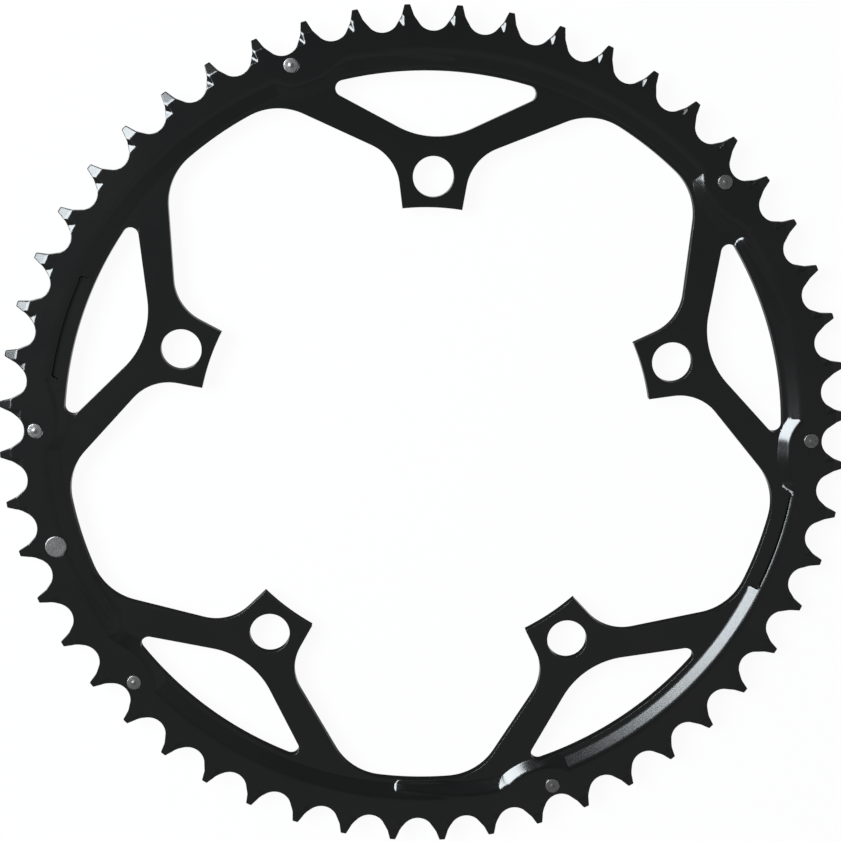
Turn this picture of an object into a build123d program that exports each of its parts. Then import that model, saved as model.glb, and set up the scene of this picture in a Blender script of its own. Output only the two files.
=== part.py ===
"""Outer road chainring with six shift pins and one chain-drop pin.

Millimetres. The origin is the centre of the bolt circle on the plane where the
arms meet the crank spider. +Z points to the inner face, the side with the pins
and ramps. +Y runs through one bolt hole. Ring angles are degrees from +Y,
counter-clockwise as seen from +Z.
"""
import os
from math import cos, hypot, pi, radians, sin, sqrt, tan

from build123d import *

# Chain and tooth plan
CHAIN_PITCH = 12.7
TOOTH_COUNT = 52
ROLLER_DIAMETER = 7.75
ROLLER_CLEARANCE = 0.60
SEAT_CLEARANCE = 0.45
SEAT_HALF_ANGLE = 46.0
SHOULDER_ANGLE = 36.5
SHOULDER_LENGTH = 2.75
FLANK_ANGLE = 20.5
TIP_HEIGHT = 1.95

# Bolt circle and spider tabs
BOLT_COUNT = 5
BOLT_CIRCLE_DIAMETER = 130.0
BOLT_SLEEVE_DIAMETER = 10.0
BOLT_CLEARANCE = 0.10
TAB_REACH = 7.6
TAB_END_WIDTH = 14.9
TAB_SIDE_LEAN = 8.5

# Arms, windows and the rim's width from the tooth roots to its inner edge
ARM_THICKNESS = 3.2
RIM_WIDTH = 9.7
ARM_RIM_HALF_ANGLE = 25.4
ARM_EDGE_RISE = 0.75
ARM_TAB_FILLET = 12.0
ARM_RIM_FILLET = 15.0
WINDOW_RIM_HALF_ANGLE = 18.12
WINDOW_RISE = 7.5
WINDOW_FOOT_FILLET = 20.7
WINDOW_CORNER_FILLET = 2.0

# Rim section: the rim stands above the arms on the inner face
RIM_RISE = 1.5
CONE_LEDGE = 1.1
CONE_RUN = 3.4
TIP_BEVEL_LENGTH = 2.9
TIP_BEVEL_DROP = 1.1
TOOTH_THICKNESS = 2.2
OUTER_LEDGE = 1.5
OUTER_SLOPE_RUN = 2.2

# Chamfer on one flank of every tooth, on the inner face
FLANK_CHAMFER_START = 0.6
FLANK_CHAMFER_ANGLE = 30.0
FLANK_CHAMFER_SETOUT = 1.0
FLANK_STEP_ANGLE = 40.0

# Shift pins, each centred under a tooth gap and set in from the tooth roots
SHIFT_PIN_GAPS = (3, 13, 19, 29, 39, 45)
SHIFT_PIN_DIAMETER = 3.6
SHIFT_PIN_INSET = 2.7
SHIFT_PIN_PROUD = 0.5

# Chain-drop pin, beside the tooth on the crank arm's line between two arms
CRANK_LINE_ANGLE = 108.0
DROP_PIN_ANGLE = 108.4
DROP_PIN_INSET = 3.1
DROP_PIN_DIAMETER = 5.4
DROP_PIN_PROUD = 0.3
DROP_PIN_REACH = 2.8

# Foot of the raised pad at each shift pin: (clockwise of the pin, out from the rim's inner edge)
PAD_START = (14.2, 3.85)
PAD_START_CORNER = (12.4, 0.45)
PAD_LONG_CORNER = (5.65, -1.25)
PAD_SHORT_CORNER = (-2.35, -1.4)
PAD_END_CORNER = (-5.45, 1.05)
PAD_END = (-5.95, 4.7)
PAD_START_FILLET = 3.0
PAD_LONG_FILLET = 9.0
PAD_SHORT_FILLET = 3.0
PAD_END_FILLET = 2.5
PAD_WALL_RUN = 1.8

# Milled recesses in the cone, each with its start a set angle before the pin of a tooth gap
RECESS_GAPS = (13, 39)
RECESS_LEAD = 24.45
RECESS_SPAN = 16.2
RECESS_WALL_INSET = 0.3
RECESS_CORNER = 1.0

# Low ramps on the cone: each has one steep end before the pin of a tooth gap, and runs out to nothing
FALLING_RAMP_GAPS = (3, 29)
FALLING_RAMP_LEAD = 24.55
RISING_RAMP_GAPS = (19, 45)
RISING_RAMP_LEAD = 8.35
RAMP_LENGTH = 24.0
RAMP_HEIGHT = 1.25
RAMP_END_RUN = 0.5
RAMP_FACET_RISE = 3.2
RAMP_FACET_LENGTH = 3.7
RAMP_SINK = 0.6

# Blanks and cutters reach this far past the finished faces.
OVERRUN = 5.0
# Points closer than this count as one.
TOUCH = 0.01

# Circles of the chain, the teeth and the bolts
PITCH_ANGLE = 360.0 / TOOTH_COUNT
PITCH_RADIUS = CHAIN_PITCH / (2 * sin(pi / TOOTH_COUNT))
ROOT_RADIUS = PITCH_RADIUS - ROLLER_DIAMETER / 2 - ROLLER_CLEARANCE
SEAT_RADIUS = ROLLER_DIAMETER / 2 + SEAT_CLEARANCE
TIP_RADIUS = PITCH_RADIUS + TIP_HEIGHT
ARM_PITCH = 360.0 / BOLT_COUNT
BOLT_RADIUS = BOLT_CIRCLE_DIAMETER / 2
BOLT_HOLE_RADIUS = BOLT_SLEEVE_DIAMETER / 2 + BOLT_CLEARANCE
TAB_END_RADIUS = BOLT_RADIUS - TAB_REACH
# A tooth stands on the crank arm's line, so the gap beside it is half a pitch off.
FIRST_GAP_ANGLE = (CRANK_LINE_ANGLE - PITCH_ANGLE / 2) % PITCH_ANGLE

# Radii and heights of the rim section
BLANK_INNER_RADIUS = TAB_END_RADIUS - OVERRUN
RIM_INNER_RADIUS = ROOT_RADIUS - RIM_WIDTH
CONE_FOOT_RADIUS = RIM_INNER_RADIUS + CONE_LEDGE
CONE_TOP_RADIUS = CONE_FOOT_RADIUS + CONE_RUN
OUTER_SLOPE_FOOT_RADIUS = RIM_INNER_RADIUS + OUTER_LEDGE
OUTER_SLOPE_TOP_RADIUS = OUTER_SLOPE_FOOT_RADIUS + OUTER_SLOPE_RUN
SHIFT_PIN_RADIUS = ROOT_RADIUS - SHIFT_PIN_INSET
DROP_PIN_RADIUS = ROOT_RADIUS - DROP_PIN_INSET
OUTER_FACE = -ARM_THICKNESS
TOOTH_BOTTOM = RIM_RISE - TOOTH_THICKNESS


def polar(angle, radius):
    """Plan point at a ring angle and radius."""
    return (-radius * sin(radians(angle)), radius * cos(radians(angle)))


def turn(point, angle):
    """Plan point turned counter-clockwise about the origin."""
    c, s = cos(radians(angle)), sin(radians(angle))
    return (point[0] * c - point[1] * s, point[0] * s + point[1] * c)


def mirror_x(point):
    """Plan point mirrored left to right."""
    return (-point[0], point[1])


def along(point, lean, radius):
    """Where a line from a point, leaning right of +Y, reaches a radius."""
    dx, dy = sin(radians(lean)), cos(radians(lean))
    b = point[0] * dx + point[1] * dy
    c = point[0] ** 2 + point[1] ** 2 - radius**2
    step = -b + sqrt(b * b - c)
    return (point[0] + step * dx, point[1] + step * dy)


def tooth_outline():
    """Closed outer outline: roller seats, flanks that bend in at a shoulder, flat tips."""
    turn_out, lean = radians(SEAT_HALF_ANGLE), radians(SHOULDER_ANGLE)
    foot = (SEAT_RADIUS * sin(turn_out), ROOT_RADIUS + SEAT_RADIUS * (1 - cos(turn_out)))
    knee = (foot[0] + SHOULDER_LENGTH * sin(lean), foot[1] + SHOULDER_LENGTH * cos(lean))
    corners = (along(knee, FLANK_ANGLE, TIP_RADIUS), knee, foot)
    edges = []
    for gap in range(TOOTH_COUNT):
        angle = gap_angle(gap)
        right = [turn(p, angle) for p in corners]
        left = [turn(mirror_x(p), angle) for p in corners]
        next_tip = turn(corners[0], angle + PITCH_ANGLE)
        edges += [
            Line(right[0], right[1]),
            Line(right[1], right[2]),
            ThreePointArc(right[2], polar(angle, ROOT_RADIUS), left[2]),
            Line(left[2], left[1]),
            Line(left[1], left[0]),
            Line(left[0], next_tip),
        ]
    return make_face(edges)


def near_radius(shape, radius):
    """Corners of a flat shape that lie at one distance from the origin."""
    return [v for v in shape.vertices() if abs(hypot(v.X, v.Y) - radius) < TOUCH]


def star_opening():
    """Central opening: five tabs reach into it, five lobes run out to the rim."""
    tab_corner = (TAB_END_WIDTH / 2, sqrt(TAB_END_RADIUS**2 - (TAB_END_WIDTH / 2) ** 2))
    rim_corner = polar(-ARM_RIM_HALF_ANGLE, RIM_INNER_RADIUS)
    edge_height = BOLT_RADIUS + ARM_EDGE_RISE
    slope, side = (rim_corner[1] - edge_height) / rim_corner[0], tan(radians(TAB_SIDE_LEAN))
    rise = (edge_height + slope * tab_corner[0] - tab_corner[1]) / (1 - slope * side)
    knee = (tab_corner[0] + side * rise, tab_corner[1] + rise)
    edges = []
    for arm in range(BOLT_COUNT):
        angle = arm * ARM_PITCH
        right = [turn(p, angle) for p in (rim_corner, knee, tab_corner)]
        left = [turn(mirror_x(p), angle) for p in (rim_corner, knee, tab_corner)]
        next_rim = turn(rim_corner, angle + ARM_PITCH)
        edges += [
            Line(right[0], right[1]),
            Line(right[1], right[2]),
            ThreePointArc(right[2], polar(angle, TAB_END_RADIUS), left[2]),
            Line(left[2], left[1]),
            Line(left[1], left[0]),
            ThreePointArc(left[0], polar(angle + ARM_PITCH / 2, RIM_INNER_RADIUS), next_rim),
        ]
    face = make_face(edges)
    face = fillet(near_radius(face, hypot(*knee)), ARM_TAB_FILLET)
    return fillet(near_radius(face, RIM_INNER_RADIUS), ARM_RIM_FILLET)


def window():
    """Opening in the arm on +Y: two slanted sides and an arc along the rim."""
    foot = (0.0, BOLT_RADIUS + WINDOW_RISE)
    corner = polar(-WINDOW_RIM_HALF_ANGLE, RIM_INNER_RADIUS)
    face = make_face(
        [
            Line(foot, corner),
            ThreePointArc(corner, polar(0, RIM_INNER_RADIUS), mirror_x(corner)),
            Line(mirror_x(corner), foot),
        ]
    )
    face = fillet(near_radius(face, foot[1]), WINDOW_FOOT_FILLET)
    return fillet(near_radius(face, RIM_INNER_RADIUS), WINDOW_CORNER_FILLET)


def prism(face, low, high):
    """Flat shape raised between two heights."""
    return extrude(Pos(0, 0, low) * face, high - low, dir=(0, 0, 1))


def disc(angle, radius, size):
    """Round hole shape at a ring angle and radius."""
    x, y = polar(angle, radius)
    return Pos(x, y) * Circle(size)


def section_blank():
    """Turned blank: flat centre, raised rim with an inward cone, thin teeth."""
    outline = [
        (BLANK_INNER_RADIUS, OUTER_FACE),
        (OUTER_SLOPE_FOOT_RADIUS, OUTER_FACE),
        (OUTER_SLOPE_TOP_RADIUS, TOOTH_BOTTOM),
        (TIP_RADIUS + OVERRUN, TOOTH_BOTTOM),
        (TIP_RADIUS + OVERRUN, RIM_RISE),
        (CONE_TOP_RADIUS, RIM_RISE),
        (CONE_FOOT_RADIUS, 0.0),
        (BLANK_INNER_RADIUS, 0.0),
    ]
    face = Plane.XZ * make_face(Polyline(*outline, close=True))
    return revolve(face, Axis.Z, 360)


def pad(pin_angle):
    """Raised pad round one shift pin, with sloping walls down to the arms."""
    outer = RIM_WIDTH - PAD_WALL_RUN
    stations = (
        (PAD_END[0], outer),
        PAD_END,
        PAD_END_CORNER,
        PAD_SHORT_CORNER,
        PAD_LONG_CORNER,
        PAD_START_CORNER,
        PAD_START,
        (PAD_START[0], outer),
    )
    face = make_face(Polyline(*[(x, RIM_INNER_RADIUS + y) for x, y in stations], close=True))
    rounds = (
        (PAD_END_CORNER, PAD_END_FILLET),
        (PAD_SHORT_CORNER, PAD_SHORT_FILLET),
        (PAD_LONG_CORNER, PAD_LONG_FILLET),
        (PAD_START_CORNER, PAD_START_FILLET),
    )
    for (x, y), radius in rounds:
        spots = [v for v in face.vertices() if hypot(v.X - x, v.Y - RIM_INNER_RADIUS - y) < TOUCH]
        face = fillet(spots, radius)
    crest = Pos(0, 0, RIM_RISE) * offset(face, -PAD_WALL_RUN)
    return Rot(0, 0, pin_angle) * loft([face, crest], ruled=True)


def recess(start_angle):
    """Cutter for a flat recess that takes the cone away down to the arms."""
    low, high = RIM_INNER_RADIUS - OVERRUN, CONE_TOP_RADIUS - RECESS_WALL_INSET
    end = start_angle + RECESS_SPAN
    middle = (start_angle + end) / 2
    corners = [polar(start_angle, low), polar(end, low), polar(end, high), polar(start_angle, high)]
    face = make_face(
        [
            ThreePointArc(corners[0], polar(middle, low), corners[1]),
            Line(corners[1], corners[2]),
            ThreePointArc(corners[2], polar(middle, high), corners[3]),
            Line(corners[3], corners[0]),
        ]
    )
    x, y = corners[3]
    spots = [v for v in face.vertices() if hypot(v.X - x, v.Y - y) < TOUCH]
    return prism(fillet(spots, RECESS_CORNER), 0.0, RIM_RISE + OVERRUN)


def ramp(end_angle, way):
    """Wedge on the cone: steep at one end, with a facet on its inner corner.

    way is +1 where the wedge runs out clockwise of its steep end, -1 where it
    runs out counter-clockwise.
    """
    inner, outer = RIM_INNER_RADIUS - OVERRUN / 2, CONE_TOP_RADIUS
    corner = RIM_INNER_RADIUS + RAMP_FACET_RISE
    facet_start = RAMP_END_RUN + RAMP_FACET_LENGTH
    foot = [(0, outer), (0, corner), (0, inner), (RAMP_LENGTH, inner), (RAMP_LENGTH, outer)]
    crest = [(RAMP_END_RUN, outer), (RAMP_END_RUN, corner), (facet_start, inner),
             (RAMP_LENGTH, inner), (RAMP_LENGTH, outer)]
    fall = (RAMP_HEIGHT + RAMP_SINK / 2) / RAMP_LENGTH
    low = [(way * x, y, -RAMP_SINK) for x, y in foot]
    high = [(way * x, y, RAMP_HEIGHT - fall * x) for x, y in crest]
    ends = [make_face(Polyline(*points, close=True)) for points in (low, high)]
    return Rot(0, 0, end_angle) * loft(ends, ruled=True)


def flank_chamfer(tooth_angle):
    """Wedge that bevels the counter-clockwise flank of one tooth, from a sloping step at its root."""
    near, far = FLANK_CHAMFER_START, FLANK_CHAMFER_START + OVERRUN
    fall = (far - near) * tan(radians(FLANK_CHAMFER_ANGLE))
    top, start, end = RIM_RISE + OVERRUN, ROOT_RADIUS + FLANK_CHAMFER_SETOUT, TIP_RADIUS + OVERRUN
    bevel = [(-near, RIM_RISE), (-far, RIM_RISE - fall), (-far, top), (-near, top)]
    step = [(start, RIM_RISE), (end, RIM_RISE - (end - start) * tan(radians(FLANK_STEP_ANGLE))),
            (end, top), (start, top)]
    along_tooth = extrude(Plane.XZ * make_face(Polyline(*bevel, close=True)), end, dir=(0, 1, 0))
    across_tooth = extrude(Plane.YZ * make_face(Polyline(*step, close=True)), far, both=True)
    return Rot(0, 0, tooth_angle) * (along_tooth & across_tooth)


def tip_bevel(tooth_angle):
    """Wedge that bevels the tip of one tooth."""
    slope = TIP_BEVEL_DROP / TIP_BEVEL_LENGTH
    start, end, top = TIP_RADIUS - TIP_BEVEL_LENGTH, TIP_RADIUS + OVERRUN, RIM_RISE + OVERRUN
    profile = [(start, RIM_RISE), (end, RIM_RISE - (end - start) * slope), (end, top), (start, top)]
    face = Plane.YZ * make_face(Polyline(*profile, close=True))
    return Rot(0, 0, tooth_angle) * extrude(face, CHAIN_PITCH / 2, both=True)


def gap_angle(gap):
    """Ring angle of the middle of a tooth gap."""
    return FIRST_GAP_ANGLE + gap * PITCH_ANGLE


def shift_pin_angles():
    """Ring angles of the six shift pins, each at a tooth gap."""
    return [gap_angle(gap) for gap in SHIFT_PIN_GAPS]


def build_ring():
    """The one-piece aluminium ring with its holes."""
    pins = shift_pin_angles()
    blank = section_blank()
    blank -= [recess(gap_angle(gap) - RECESS_LEAD) for gap in RECESS_GAPS]
    blank += [pad(a) for a in pins]
    blank += [ramp(gap_angle(gap) - FALLING_RAMP_LEAD, -1) for gap in FALLING_RAMP_GAPS]
    blank += [ramp(gap_angle(gap) - RISING_RAMP_LEAD, 1) for gap in RISING_RAMP_GAPS]

    arms = [arm * ARM_PITCH for arm in range(BOLT_COUNT)]
    gaps = [star_opening()]
    gaps += [Rot(0, 0, a) * window() for a in arms]
    gaps += [disc(a, BOLT_RADIUS, BOLT_HOLE_RADIUS) for a in arms]
    gaps += [disc(a, SHIFT_PIN_RADIUS, SHIFT_PIN_DIAMETER / 2) for a in pins]
    gaps += [disc(DROP_PIN_ANGLE, DROP_PIN_RADIUS, DROP_PIN_DIAMETER / 2)]
    plan = tooth_outline() - gaps
    ring = blank & prism(plan, OUTER_FACE - OVERRUN, RIM_RISE + OVERRUN)
    teeth = [gap_angle(n + 0.5) for n in range(TOOTH_COUNT)]
    return ring - [cut(a) for a in teeth for cut in (flank_chamfer, tip_bevel)]


def build_pin(angle, radius, diameter, low, high):
    """Round pin between two heights, parallel to the ring's axis."""
    rod = Cylinder(diameter / 2, high - low, align=(Align.CENTER, Align.CENTER, Align.MIN))
    return Rot(0, 0, angle) * Pos(0, radius, low) * rod


def build_shift_pin(angle):
    """Shift pin pressed through the rim: proud inside, flush outside."""
    return build_pin(angle, SHIFT_PIN_RADIUS, SHIFT_PIN_DIAMETER, TOOTH_BOTTOM, RIM_RISE + SHIFT_PIN_PROUD)


def build_drop_pin():
    """Chain-drop pin: a set end on the inner face, a long end past the outer face."""
    low, high = OUTER_FACE - DROP_PIN_REACH, RIM_RISE + DROP_PIN_PROUD
    return build_pin(DROP_PIN_ANGLE, DROP_PIN_RADIUS, DROP_PIN_DIAMETER, low, high)


def main():
    """Builds every piece and writes one file for each."""
    os.makedirs("parts", exist_ok=True)
    export_step(build_ring(), "parts/chainring.step")
    for number, angle in enumerate(shift_pin_angles(), start=1):
        export_step(build_shift_pin(angle), f"parts/shift_pin_{number}.step")
    export_step(build_drop_pin(), "parts/chain_drop_pin.step")


main()
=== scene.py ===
"""Looks of a bicycle chainring with pressed-in shift pins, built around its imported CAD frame.

Everything is in metres in the CAD frame: the ring lies in the XY plane with its axle along Z,
the side with the shift pins faces up, and one spider bolt hole is towards +Y.
"""

from __future__ import annotations

import logging
import math
from dataclasses import dataclass, field
from enum import Enum
from typing import Any, Callable

import bpy
import numpy as np
from mathutils import Matrix, Vector
from mathutils.geometry import delaunay_2d_cdt


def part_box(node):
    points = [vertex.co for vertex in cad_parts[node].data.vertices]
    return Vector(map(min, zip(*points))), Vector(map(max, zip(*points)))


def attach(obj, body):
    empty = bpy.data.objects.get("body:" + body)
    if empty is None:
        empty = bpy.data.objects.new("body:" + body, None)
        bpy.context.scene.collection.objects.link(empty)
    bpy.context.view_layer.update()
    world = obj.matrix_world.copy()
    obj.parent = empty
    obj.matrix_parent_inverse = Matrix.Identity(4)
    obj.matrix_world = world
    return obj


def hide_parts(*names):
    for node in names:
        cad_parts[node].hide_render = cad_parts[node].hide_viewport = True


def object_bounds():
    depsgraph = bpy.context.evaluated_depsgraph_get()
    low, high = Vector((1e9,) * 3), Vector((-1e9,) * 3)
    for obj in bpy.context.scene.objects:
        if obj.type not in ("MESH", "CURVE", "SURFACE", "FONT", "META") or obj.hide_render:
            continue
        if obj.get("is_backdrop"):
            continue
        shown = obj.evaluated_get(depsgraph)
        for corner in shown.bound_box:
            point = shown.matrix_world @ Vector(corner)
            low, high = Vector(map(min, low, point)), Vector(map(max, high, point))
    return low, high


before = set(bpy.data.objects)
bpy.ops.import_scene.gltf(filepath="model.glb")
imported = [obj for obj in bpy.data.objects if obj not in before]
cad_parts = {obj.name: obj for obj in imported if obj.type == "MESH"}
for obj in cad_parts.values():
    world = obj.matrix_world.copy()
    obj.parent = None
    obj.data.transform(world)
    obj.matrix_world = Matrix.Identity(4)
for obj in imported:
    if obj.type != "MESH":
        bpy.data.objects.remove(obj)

LOG = logging.getLogger("chainring_scene")
MM = 0.001
BODY = "root"
SHIFT_NODES = tuple(f"shift_pin_{number}" for number in range(1, 7))
DROP_NODE = "chain_drop_pin"
NOISE_MIDDLE = 0.5
Colour = tuple[float, float, float]
Band = tuple[float, float]
Span = tuple[float, float, float]
Heights = Callable[[np.ndarray], np.ndarray]

# The triangulation keeps what lies inside the outer outline and merges points that are this close
INSIDE = 1
TOUCH = 1e-5


class Slot(Enum):
    """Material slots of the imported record."""

    ANODISED = "black_anodised"
    STEEL = "pin_steel"


class PinEnd(Enum):
    """How the face of a pin is finished."""

    DOMED = "domed"
    FLAT = "flat"


class Outline(Enum):
    """What an outline of the plan encloses."""

    METAL = "metal"
    OPENING = "opening"
    HOLE = "hole"


@dataclass(frozen=True)
class Grain:
    """A noise pattern: features for each metre, octaves, and how much the finer ones add."""

    scale: float
    detail: float
    rough: float = 0.5


class Field:
    """One output socket of a shader tree; arithmetic on it adds Math nodes."""

    def __init__(self, graph: "Graph", socket: bpy.types.NodeSocket) -> None:
        """Keeps the socket and the graph that it belongs to."""
        self.graph = graph
        self.socket = socket

    def __add__(self, other: "Field | float") -> "Field":
        """Sum."""
        return self.graph.math("ADD", self, other)

    def __radd__(self, other: float) -> "Field":
        """Sum with the number first."""
        return self.graph.math("ADD", other, self)

    def __sub__(self, other: "Field | float") -> "Field":
        """Difference."""
        return self.graph.math("SUBTRACT", self, other)

    def __rsub__(self, other: float) -> "Field":
        """Difference with the number first."""
        return self.graph.math("SUBTRACT", other, self)

    def __mul__(self, other: "Field | float") -> "Field":
        """Product."""
        return self.graph.math("MULTIPLY", self, other)

    def __rmul__(self, other: float) -> "Field":
        """Product with the number first."""
        return self.graph.math("MULTIPLY", other, self)


class Graph:
    """A shader tree that is written as Python expressions."""

    def __init__(self, tree: bpy.types.NodeTree) -> None:
        """Empties the tree and keeps it."""
        self.tree = tree
        self.tree.nodes.clear()

    def node(
        self,
        kind: str,
        settings: dict[str, Any] | None = None,
        inputs: dict[str | int, Any] | None = None,
        output: str | int = 0,
    ) -> Field:
        """Adds a node of any type.

        Args:
            kind: Blender's type name of the node.
            settings: properties of the node, set before its sockets; "stops" are the stops of a ramp.
            inputs: a value or a Field for each named or numbered input socket.
            output: the output socket that is wanted.

        Returns:
            That output socket.
        """
        made = self.tree.nodes.new(kind)
        for name, value in (settings or {}).items():
            if name == "stops":
                self.fill_ramp(made.color_ramp, value)
            else:
                setattr(made, name, value)
        for name, value in (inputs or {}).items():
            if isinstance(value, Field):
                self.tree.links.new(value.socket, made.inputs[name])
            else:
                made.inputs[name].default_value = value
        return Field(self, made.outputs[output]) if made.outputs else Field(self, made.inputs[0])

    @staticmethod
    def fill_ramp(ramp: bpy.types.ColorRamp, stops: tuple[tuple[float, float], ...]) -> None:
        """Gives a ramp its stops, each a place and a grey level.

        Args:
            ramp: the ramp of a node.
            stops: place and grey level of each stop.
        """
        while len(ramp.elements) < len(stops):
            ramp.elements.new(1.0)
        for element, (place, level) in zip(ramp.elements, stops):
            element.position = place
            element.color = (level, level, level, 1.0)

    def math(self, operation: str, first: Field | float, second: Field | float = 0.0) -> Field:
        """One Math node on numbers or Fields."""
        return self.node("ShaderNodeMath", {"operation": operation}, {0: first, 1: second})

    def clamp(self, value: Field) -> Field:
        """The value kept between 0 and 1."""
        return self.node("ShaderNodeClamp", inputs={"Value": value})

    def smooth(self, value: Field, low: float, high: float) -> Field:
        """A smooth step from 0 at low to 1 at high."""
        settings = {"interpolation_type": "SMOOTHSTEP"}
        return self.node("ShaderNodeMapRange", settings, {"Value": value, "From Min": low, "From Max": high})

    def mix(self, factor: Field, first: Field | Colour, second: Field | Colour) -> Field:
        """A colour between two colours.

        Args:
            factor: 0 for the first colour, 1 for the second.
            first: the first colour.
            second: the second colour.

        Returns:
            The mixed colour.
        """
        colours = [c if isinstance(c, Field) else (*c, 1.0) for c in (first, second)]
        inputs = {0: factor, 6: colours[0], 7: colours[1]}
        return self.node("ShaderNodeMix", {"data_type": "RGBA"}, inputs, output=2)

    def noise(self, vector: Field, grain: Grain) -> Field:
        """Noise of a pattern."""
        inputs = {"Vector": vector, "Scale": grain.scale, "Detail": grain.detail, "Roughness": grain.rough}
        return self.node("ShaderNodeTexNoise", inputs=inputs)

    def wave(self, phase: Field) -> Field:
        """A sine of a phase in radians, brought to 0 to 1."""
        return self.math("SINE", phase) * 0.5 + 0.5

    def bump(self, height: Field, depth: float, normal: Field | None = None) -> Field:
        """A normal tilted by a height field whose unit is depth, in metres.

        Args:
            height: the height field.
            depth: height of 1 in the field, in metres.
            normal: the normal to start from, if it isn't the surface's own.

        Returns:
            The tilted normal.
        """
        inputs: dict[str | int, Any] = {"Height": height, "Strength": 1.0, "Distance": depth}
        if normal is not None:
            inputs["Normal"] = normal
        return self.node("ShaderNodeBump", inputs=inputs)

    def position(self) -> Field:
        """Object coordinates."""
        return self.node("ShaderNodeTexCoord", output="Object")

    def finish(self, shader: Field) -> None:
        """Sends a shader to the surface output."""
        self.node("ShaderNodeOutputMaterial", inputs={"Surface": shader})


def new_material(name: str) -> tuple[bpy.types.Material, Graph]:
    """Makes an empty node material.

    Args:
        name: the material's name.

    Returns:
        The material and its graph.
    """
    material = bpy.data.materials.new(name)
    material.use_nodes = True
    return material, Graph(material.node_tree)


@dataclass(frozen=True)
class BlackAnodise:
    """Satin black anodised aluminium: a dyed oxide skin over fine machining lines."""

    deep: Colour = (0.073, 0.0755, 0.0755)
    warm: Colour = (0.078, 0.079, 0.0775)
    worn: Colour = (0.11, 0.11, 0.11)
    grazing_tint: Colour = (0.15, 0.15, 0.15)
    metallic: float = 0.95
    roughness: float = 0.155
    mottle: Grain = Grain(55.0, 4.0, 0.6)
    mottle_band: Band = (0.35, 0.68)
    mottle_roughness: float = 0.04
    grain: Grain = Grain(7000.0, 2.0)
    grain_roughness: float = 0.06
    grain_depth: float = 0.0016 * MM
    line_pitch: float = 0.16 * MM
    line_depth: float = 0.0010 * MM
    line_drift: float = 6.0
    rub: Grain = Grain(420.0, 3.0)
    rub_band: Band = (0.46, 0.66)
    edge_band: Band = (0.35, 1.0)
    least_wear: float = 0.15
    edge_attribute: str = "edge"

    def material(self) -> bpy.types.Material:
        """Builds the material.

        Returns:
            A material that reads Object coordinates and the ring's edge attribute.
        """
        material, graph = new_material("black_anodised_satin")
        place = graph.position()
        mottle = graph.noise(place, self.mottle)
        grain = graph.noise(place, self.grain)
        lines = self.turned_lines(graph, place, mottle)
        edge = graph.node("ShaderNodeAttribute", {"attribute_name": self.edge_attribute}, output="Fac")
        rubbed = graph.smooth(graph.noise(place, self.rub), *self.rub_band)
        wear = self.least_wear + (1.0 - self.least_wear) * rubbed
        wear = graph.clamp(graph.smooth(edge, *self.edge_band) * wear)
        skin = graph.mix(graph.smooth(mottle, *self.mottle_band), self.deep, self.warm)
        roughness = self.roughness + (mottle - NOISE_MIDDLE) * self.mottle_roughness
        roughness = roughness + (grain - NOISE_MIDDLE) * self.grain_roughness
        normal = graph.bump(lines, self.line_depth, graph.bump(grain, self.grain_depth))
        shader = graph.node(
            "ShaderNodeBsdfPrincipled",
            inputs={
                "Base Color": graph.mix(wear, skin, self.worn),
                "Roughness": graph.clamp(roughness),
                "Metallic": self.metallic,
                "Specular Tint": (*self.grazing_tint, 1.0),
                "Normal": normal,
            },
        )
        graph.finish(shader)
        return material

    def turned_lines(self, graph: Graph, place: Field, mottle: Field) -> Field:
        """Lathe lines: a sine of the distance from the axle, its phase drifting with the mottle.

        Args:
            graph: the material's graph.
            place: Object coordinates.
            mottle: slow noise that makes the lines uneven.

        Returns:
            A height between 0 and 1.
        """
        flat = graph.node("ShaderNodeVectorMath", {"operation": "MULTIPLY"}, {0: place, 1: (1.0, 1.0, 0.0)})
        radius = graph.node("ShaderNodeVectorMath", {"operation": "LENGTH"}, {0: flat}, output="Value")
        return graph.wave(radius * (2.0 * math.pi / self.line_pitch) + mottle * self.line_drift)


@dataclass(frozen=True)
class PinSteel:
    """Turned steel of the pressed-in pins, with lathe rings and small handling marks."""

    bright: Colour = (0.45, 0.45, 0.44)
    dull: Colour = (0.20, 0.20, 0.197)
    roughness: float = 0.26
    ring_pitch: float = 0.22 * MM
    ring_depth: float = 0.004 * MM
    mark: Grain = Grain(1500.0, 4.0, 0.65)
    mark_depth: float = 0.012 * MM
    stain_band: Band = (0.40, 0.70)
    stain_roughness: float = 0.14
    radial_attribute: str = "radial"

    def material(self) -> bpy.types.Material:
        """Builds the material.

        Returns:
            A material that reads Object coordinates and each pin's radial attribute, in metres.
        """
        material, graph = new_material("turned_pin_steel")
        place = graph.position()
        radial = graph.node("ShaderNodeAttribute", {"attribute_name": self.radial_attribute}, output="Fac")
        rings = graph.wave(radial * (2.0 * math.pi / self.ring_pitch))
        marks = graph.noise(place, self.mark)
        stain = graph.smooth(marks, *self.stain_band)
        normal = graph.bump(marks, self.mark_depth, graph.bump(rings, self.ring_depth))
        shader = graph.node(
            "ShaderNodeBsdfPrincipled",
            inputs={
                "Base Color": graph.mix(stain, self.bright, self.dull),
                "Roughness": graph.clamp(self.roughness + stain * self.stain_roughness),
                "Metallic": 1.0,
                "Normal": normal,
            },
        )
        graph.finish(shader)
        return material


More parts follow.
